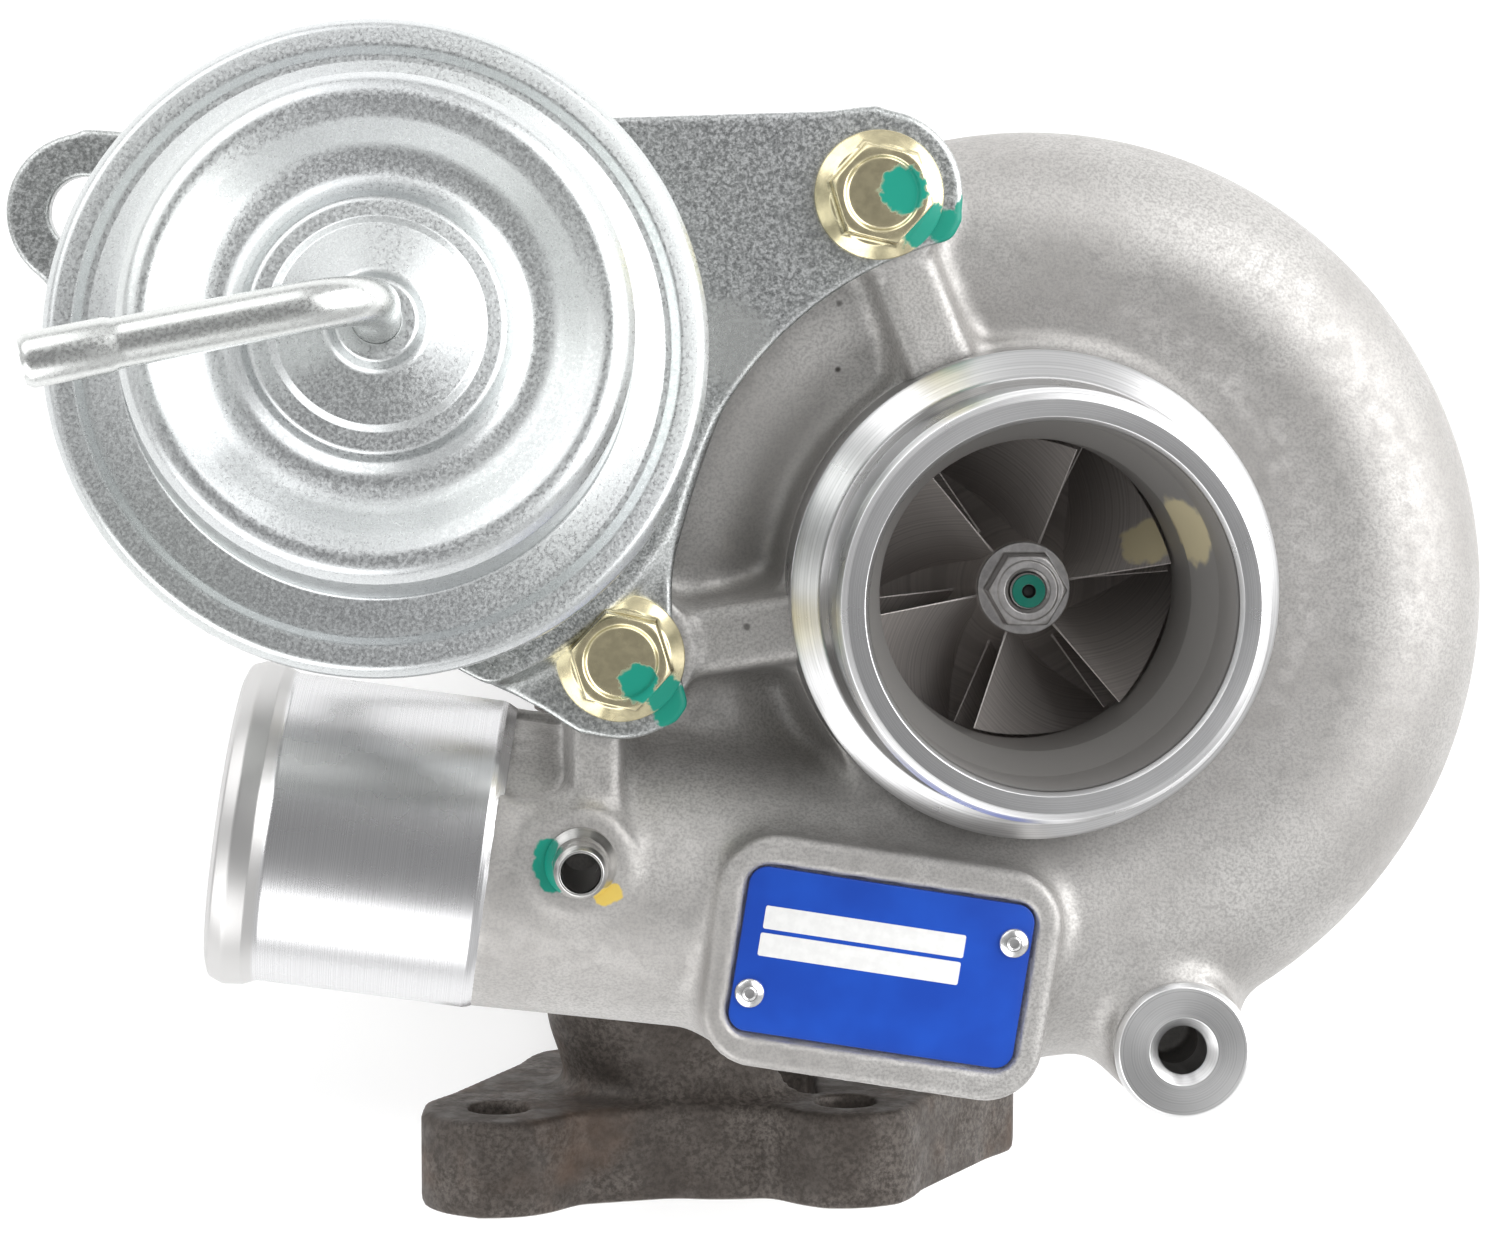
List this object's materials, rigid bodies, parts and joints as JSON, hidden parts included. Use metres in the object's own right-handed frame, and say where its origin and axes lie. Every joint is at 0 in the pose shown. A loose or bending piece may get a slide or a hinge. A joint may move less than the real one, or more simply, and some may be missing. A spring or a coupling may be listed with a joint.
{
  "type": "turbocharger",
  "caption": "Turbocharger with cast compressor and turbine housings, a bearing housing between them, and a canister actuator that works an internal wastegate.",
  "frame": {"origin": "centre of the exhaust outlet flange face, on the shaft axis", "axes": "+Z along the shaft axis, from the exhaust outlet towards the compressor inlet; the manifold flange faces -Y"},
  "size_m": [0.2104, 0.1863, 0.2253],
  "materials": {
    "cast_aluminium": "sand cast with machined spigots and faces",
    "wheel_aluminium": "dark satin cast",
    "cast_iron": "rough cast",
    "turned_steel": "ground and turned",
    "zinc_plate": "bright zinc plate, faint blue cast",
    "bracket_zinc": "speckled zinc plate",
    "yellow_zinc": "yellow passivated zinc",
    "dark_steel": "oiled black steel",
    "nickel_alloy": "cast heat resisting alloy",
    "bronze": "turned bearing bronze",
    "rubber": "matte",
    "guide_polymer": "matte",
    "blue_plate": "blue printed aluminium plate with plain white fields"
  },
  "bodies": {
    "casing": {"compressor_housing": "cast_aluminium", "backplate": "cast_aluminium", "bearing_housing": "cast_iron", "turbine_housing": "cast_iron", "boost_nipple": "turned_steel", "wastegate_bushing": "turned_steel", "id_plate_rivets": "turned_steel", "can_studs": "turned_steel", "heat_shield": "turned_steel", "compressor_seal_ring": "dark_steel", "turbine_seal_ring": "dark_steel", "bush_retaining_rings": "dark_steel", "backplate_screws": "dark_steel", "turbine_clamp_bolts": "dark_steel", "turbine_clamp_plates": "dark_steel", "thrust_bearing": "bronze", "backplate_seal": "rubber", "rod_guide": "guide_polymer", "id_plate": "blue_plate", "actuator_cover": "zinc_plate", "actuator_can": "zinc_plate", "actuator_pipe": "zinc_plate", "compressor_clamp_plates": "zinc_plate", "compressor_clamp_bolts": "zinc_plate", "actuator_bracket": "bracket_zinc", "bracket_bolts": "yellow_zinc", "can_nuts": "yellow_zinc"},
    "rotor": {"compressor_wheel": "wheel_aluminium", "impeller_nut": "turned_steel", "thrust_collar": "turned_steel", "thrust_washer": "turned_steel", "turbine_wheel_shaft": "nickel_alloy"},
    "front_bush": {"front_bush": "bronze"},
    "rear_bush": {"rear_bush": "bronze"},
    "rod": {"actuator_rod": "zinc_plate", "rod_lock_nut": "yellow_zinc", "rod_end": "zinc_plate", "piston_cup": "yellow_zinc", "diaphragm": "rubber", "actuator_spring": "dark_steel"},
    "wastegate": {"wastegate_arm": "nickel_alloy", "wastegate_lever": "turned_steel", "lever_pin": "turned_steel", "lever_clip": "dark_steel"},
    "valve": {"wastegate_valve": "nickel_alloy", "wastegate_valve_washer": "nickel_alloy"}
  },
  "joints": [
    {"name": "rotor_spin", "type": "hinge", "parent": "casing", "child": "rotor", "pos_m": [0, 0, 0.1], "axis": [0, 0, 1], "continuous": true},
    {"name": "front_bush_spin", "type": "hinge", "parent": "casing", "child": "front_bush", "pos_m": [0, 0, 0.094], "axis": [0, 0, 1], "continuous": true},
    {"name": "rear_bush_spin", "type": "hinge", "parent": "casing", "child": "rear_bush", "pos_m": [0, 0, 0.076], "axis": [0, 0, 1], "continuous": true},
    {"name": "rod_slide", "type": "slide", "parent": "casing", "child": "rod", "axis": [-0.0472, -0.1582, -0.9863], "range_m": [0, 0.008], "stiffness_N_per_m": 6000, "springref_m": -0.012, "deforming": ["actuator_spring", "diaphragm"]},
    {"name": "wastegate_swing", "type": "hinge", "parent": "casing", "child": "wastegate", "pos_m": [-0.10339, -0.00868, 0.02403], "axis": [-0.9583, 0.2857, 0], "range_deg": [0, 22.92]},
    {"name": "valve_spin", "type": "hinge", "parent": "wastegate", "child": "valve", "pos_m": [-0.03883, -0.00914, 0.02403], "axis": [0, 0, 1], "continuous": true}
  ],
  "couplings": [
    {"joint": "wastegate_swing", "follows": "rod_slide", "rad_per_m": 50},
    {"joint": "front_bush_spin", "follows": "rotor_spin", "ratio": 0.3},
    {"joint": "rear_bush_spin", "follows": "rotor_spin", "ratio": 0.3}
  ]
}
